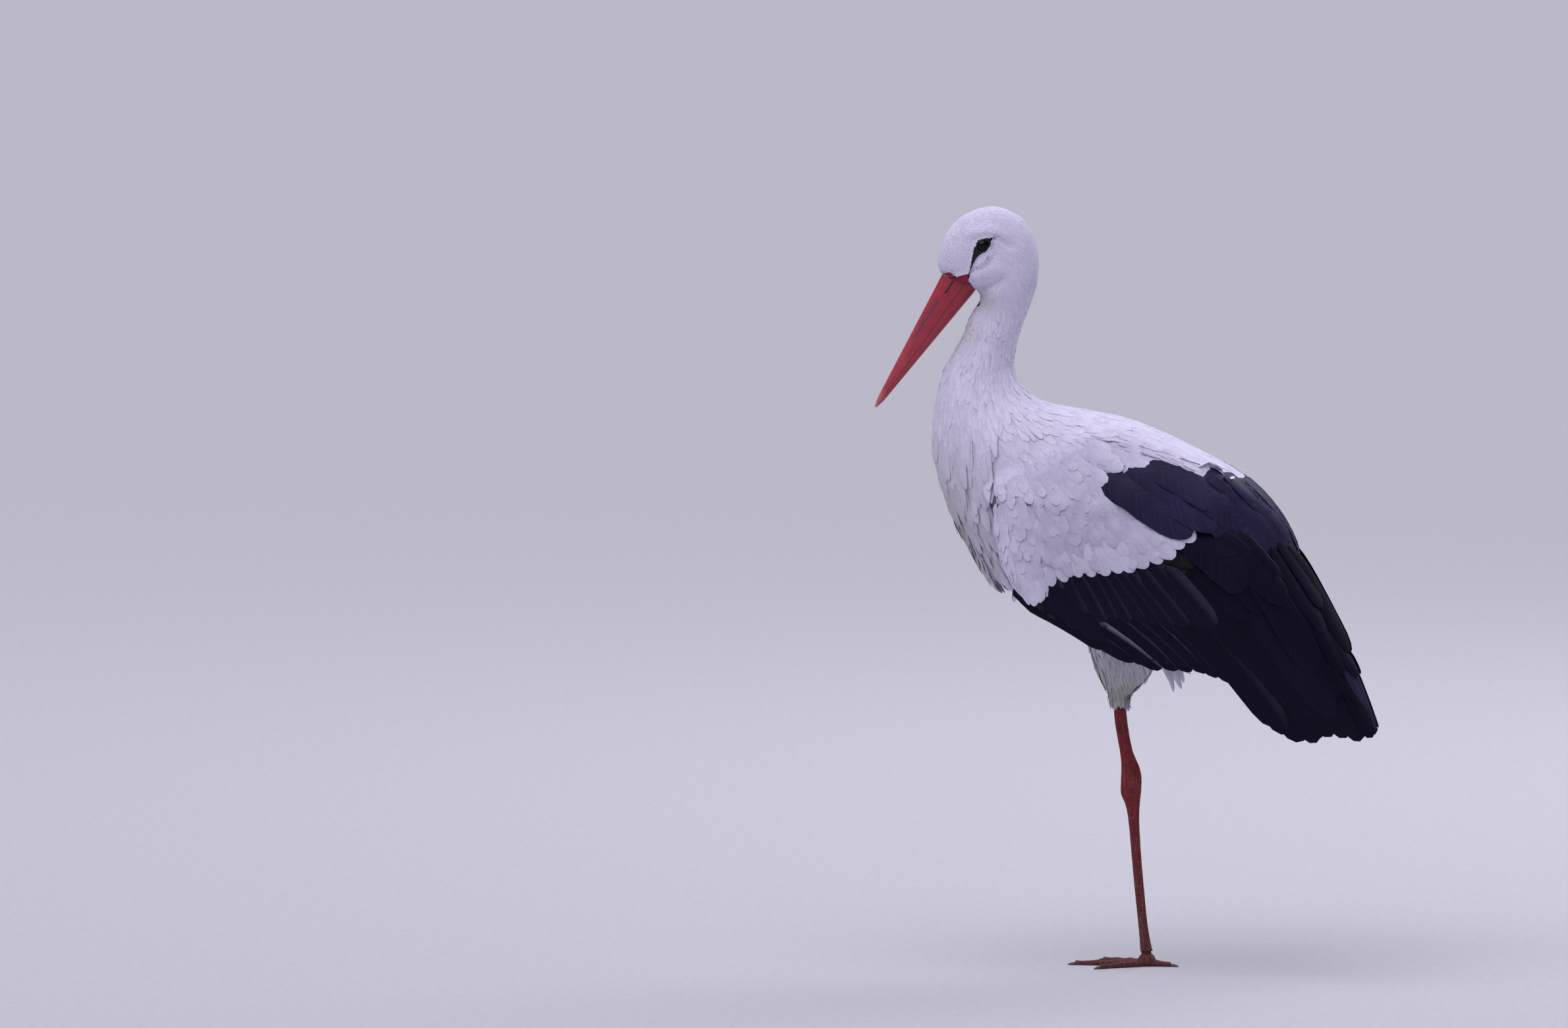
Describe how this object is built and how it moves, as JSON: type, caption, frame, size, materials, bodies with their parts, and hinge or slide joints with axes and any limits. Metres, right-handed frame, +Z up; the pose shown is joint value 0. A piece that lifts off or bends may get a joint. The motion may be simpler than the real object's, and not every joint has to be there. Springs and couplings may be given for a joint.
{
  "type": "white stork",
  "caption": "Life-size standing white stork at rest on one leg, neck drawn back, bill pointing down, wings folded.",
  "frame": {"origin": "middle of the standing foot's sole, on the floor", "axes": "+Z up, -X the way the bird faces, -Y its left side"},
  "size_m": [0.5939, 0.198, 0.8989],
  "materials": {
    "plumage_white": "soft matt white feathers, faintly grey on the foreneck",
    "plumage_black": "black flight feathers with a dull violet gloss",
    "bill": "crimson horn, satin, paler at the tip",
    "leg": "dark red scaly skin, dull",
    "claw": "dark brown horn",
    "eye": "very dark brown, wet and polished"
  },
  "bodies": {
    "root": {"bill_lower": "bill", "bill_upper": "bill", "breast_plume": "plumage_white", "claw_left_hind": "claw", "claw_left_inner": "claw", "claw_left_middle": "claw", "claw_left_outer": "claw", "claw_right_hind": "claw", "claw_right_inner": "claw", "claw_right_middle": "claw", "claw_right_outer": "claw", "eye_left": "eye", "eye_right": "eye", "foot_left": "leg", "foot_right": "leg", "head": "plumage_white", "neck_lower": "plumage_white", "neck_upper": "plumage_white", "tail": "plumage_white", "tarsus_left": "leg", "tarsus_right": "leg", "thigh_left": "plumage_white", "thigh_right": "plumage_white", "tibia_left": "leg", "tibia_right": "leg", "trunk": "plumage_white", "wing_left_arm": "plumage_white", "wing_left_quills": "plumage_black", "wing_right_arm": "plumage_white", "wing_right_quills": "plumage_black"}
  },
  "joints": []
}
